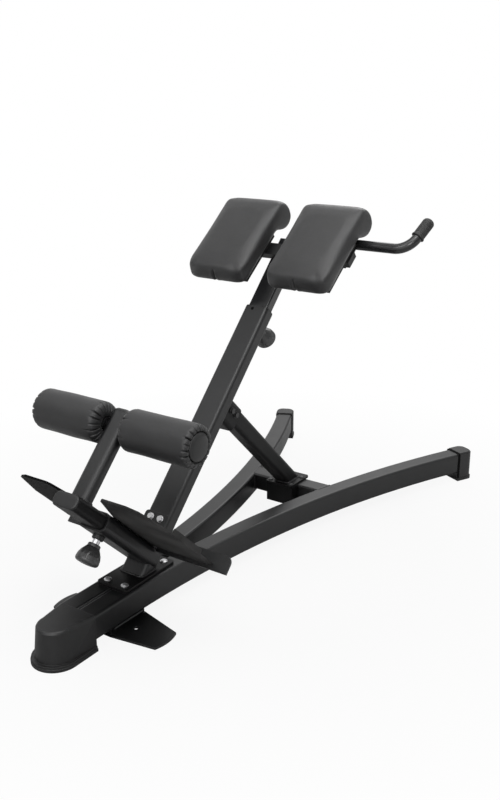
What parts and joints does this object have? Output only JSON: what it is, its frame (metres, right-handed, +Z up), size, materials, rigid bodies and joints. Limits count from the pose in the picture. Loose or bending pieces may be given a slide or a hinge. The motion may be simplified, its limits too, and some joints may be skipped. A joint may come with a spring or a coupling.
{
  "type": "roman chair",
  "caption": "Slanted roman chair with height-adjustable hip cushions, side handle, sliding ankle rollers, foot plate, spread legs and pull-pin locks.",
  "frame": {"origin": "centre of the bounding box on the floor", "axes": "+X from the front nose to the spread rear feet, +Y to the left seen from behind the nose looking along +X, +Z up"},
  "size_m": [1.4626, 0.711, 0.8498],
  "materials": {
    "frame_paint": "satin black powder coat",
    "gloss_paint": "gloss black paint",
    "black_plastic": "moulded, soft matt",
    "knob_plastic": "moulded, glossy",
    "zinc_bolt": "bright zinc plate",
    "black_bolt": "black oxide",
    "chrome_pin": "polished",
    "spring_steel": "bare spring wire",
    "plywood": "black stained plywood",
    "pad_vinyl": "fine-grained vinyl over foam",
    "roller_vinyl": "smooth vinyl over foam",
    "grip_rubber": "matt rubber"
  },
  "bodies": {
    "base": {"leg_left": "frame_paint", "leg_right": "frame_paint", "front_cap": "black_plastic", "rear_cap_left": "black_plastic", "rear_cap_right": "black_plastic", "floor_plate": "frame_paint", "cross_member": "frame_paint", "strut_seat": "frame_paint", "base_plate": "frame_paint", "base_bolts": "zinc_bolt", "post": "frame_paint", "post_bush": "black_plastic", "bush_screw": "black_bolt", "post_boss": "frame_paint", "post_barrel": "chrome_pin", "post_spring": "spring_steel", "strut": "frame_paint", "strut_bracket": "frame_paint", "bracket_bolts": "black_bolt", "strut_flange": "frame_paint", "flange_bolts": "black_bolt", "foot_tube": "frame_paint", "foot_bush": "black_plastic", "foot_boss": "frame_paint", "foot_barrel": "chrome_pin", "foot_spring": "spring_steel", "foot_plate": "frame_paint", "foot_plate_bolts": "zinc_bolt", "toe_stop": "frame_paint", "toe_stop_bolts": "zinc_bolt"},
    "pad_carriage": {"inner_tube": "gloss_paint", "inner_glide": "black_plastic", "inner_lid": "frame_paint", "handle_bar": "gloss_paint", "handle_bracket": "frame_paint", "grip": "grip_rubber", "pad_carrier": "frame_paint", "pad_board_left": "plywood", "pad_board_right": "plywood", "pad_left": "pad_vinyl", "pad_right": "pad_vinyl", "pad_screws": "zinc_bolt"},
    "post_pin": {"post_plunger": "chrome_pin", "post_knob": "knob_plastic"},
    "foot_pin": {"foot_plunger": "chrome_pin", "foot_knob": "knob_plastic"},
    "roller_carriage": {"slide_bar": "frame_paint", "bar_cap": "black_plastic", "bar_glide": "black_plastic", "roller_post": "frame_paint", "roller_post_cap": "black_plastic", "roller_shaft": "chrome_pin", "shaft_spacers": "black_plastic"},
    "roller_left": {"roller_core_left": "black_plastic", "roller_foam_left": "roller_vinyl", "roller_disc_left": "black_plastic"},
    "roller_right": {"roller_core_right": "black_plastic", "roller_foam_right": "roller_vinyl", "roller_disc_right": "black_plastic"}
  },
  "joints": [
    {"name": "pad_slide", "type": "slide", "parent": "base", "child": "pad_carriage", "axis": [0.6984, 0, 0.7157], "range_m": [-0.05, 0.125]},
    {"name": "post_pin_pull", "type": "slide", "parent": "base", "child": "post_pin", "axis": [0.7157, 0, -0.6984], "range_m": [-0.009, 0.003], "stiffness_N_per_m": 1500},
    {"name": "roller_slide", "type": "slide", "parent": "base", "child": "roller_carriage", "axis": [-0.7157, 0, 0.6984], "range_m": [0, 0.05]},
    {"name": "foot_pin_pull", "type": "slide", "parent": "base", "child": "foot_pin", "axis": [-0.6984, 0, -0.7157], "range_m": [-0.009, 0.003], "stiffness_N_per_m": 1500},
    {"name": "roller_left_spin", "type": "hinge", "parent": "roller_carriage", "child": "roller_left", "pos_m": [-0.45487, 0.13454, 0.45003], "axis": [0, 1, 0], "continuous": true},
    {"name": "roller_right_spin", "type": "hinge", "parent": "roller_carriage", "child": "roller_right", "pos_m": [-0.45487, -0.11546, 0.45003], "axis": [0, 1, 0], "continuous": true}
  ]
}
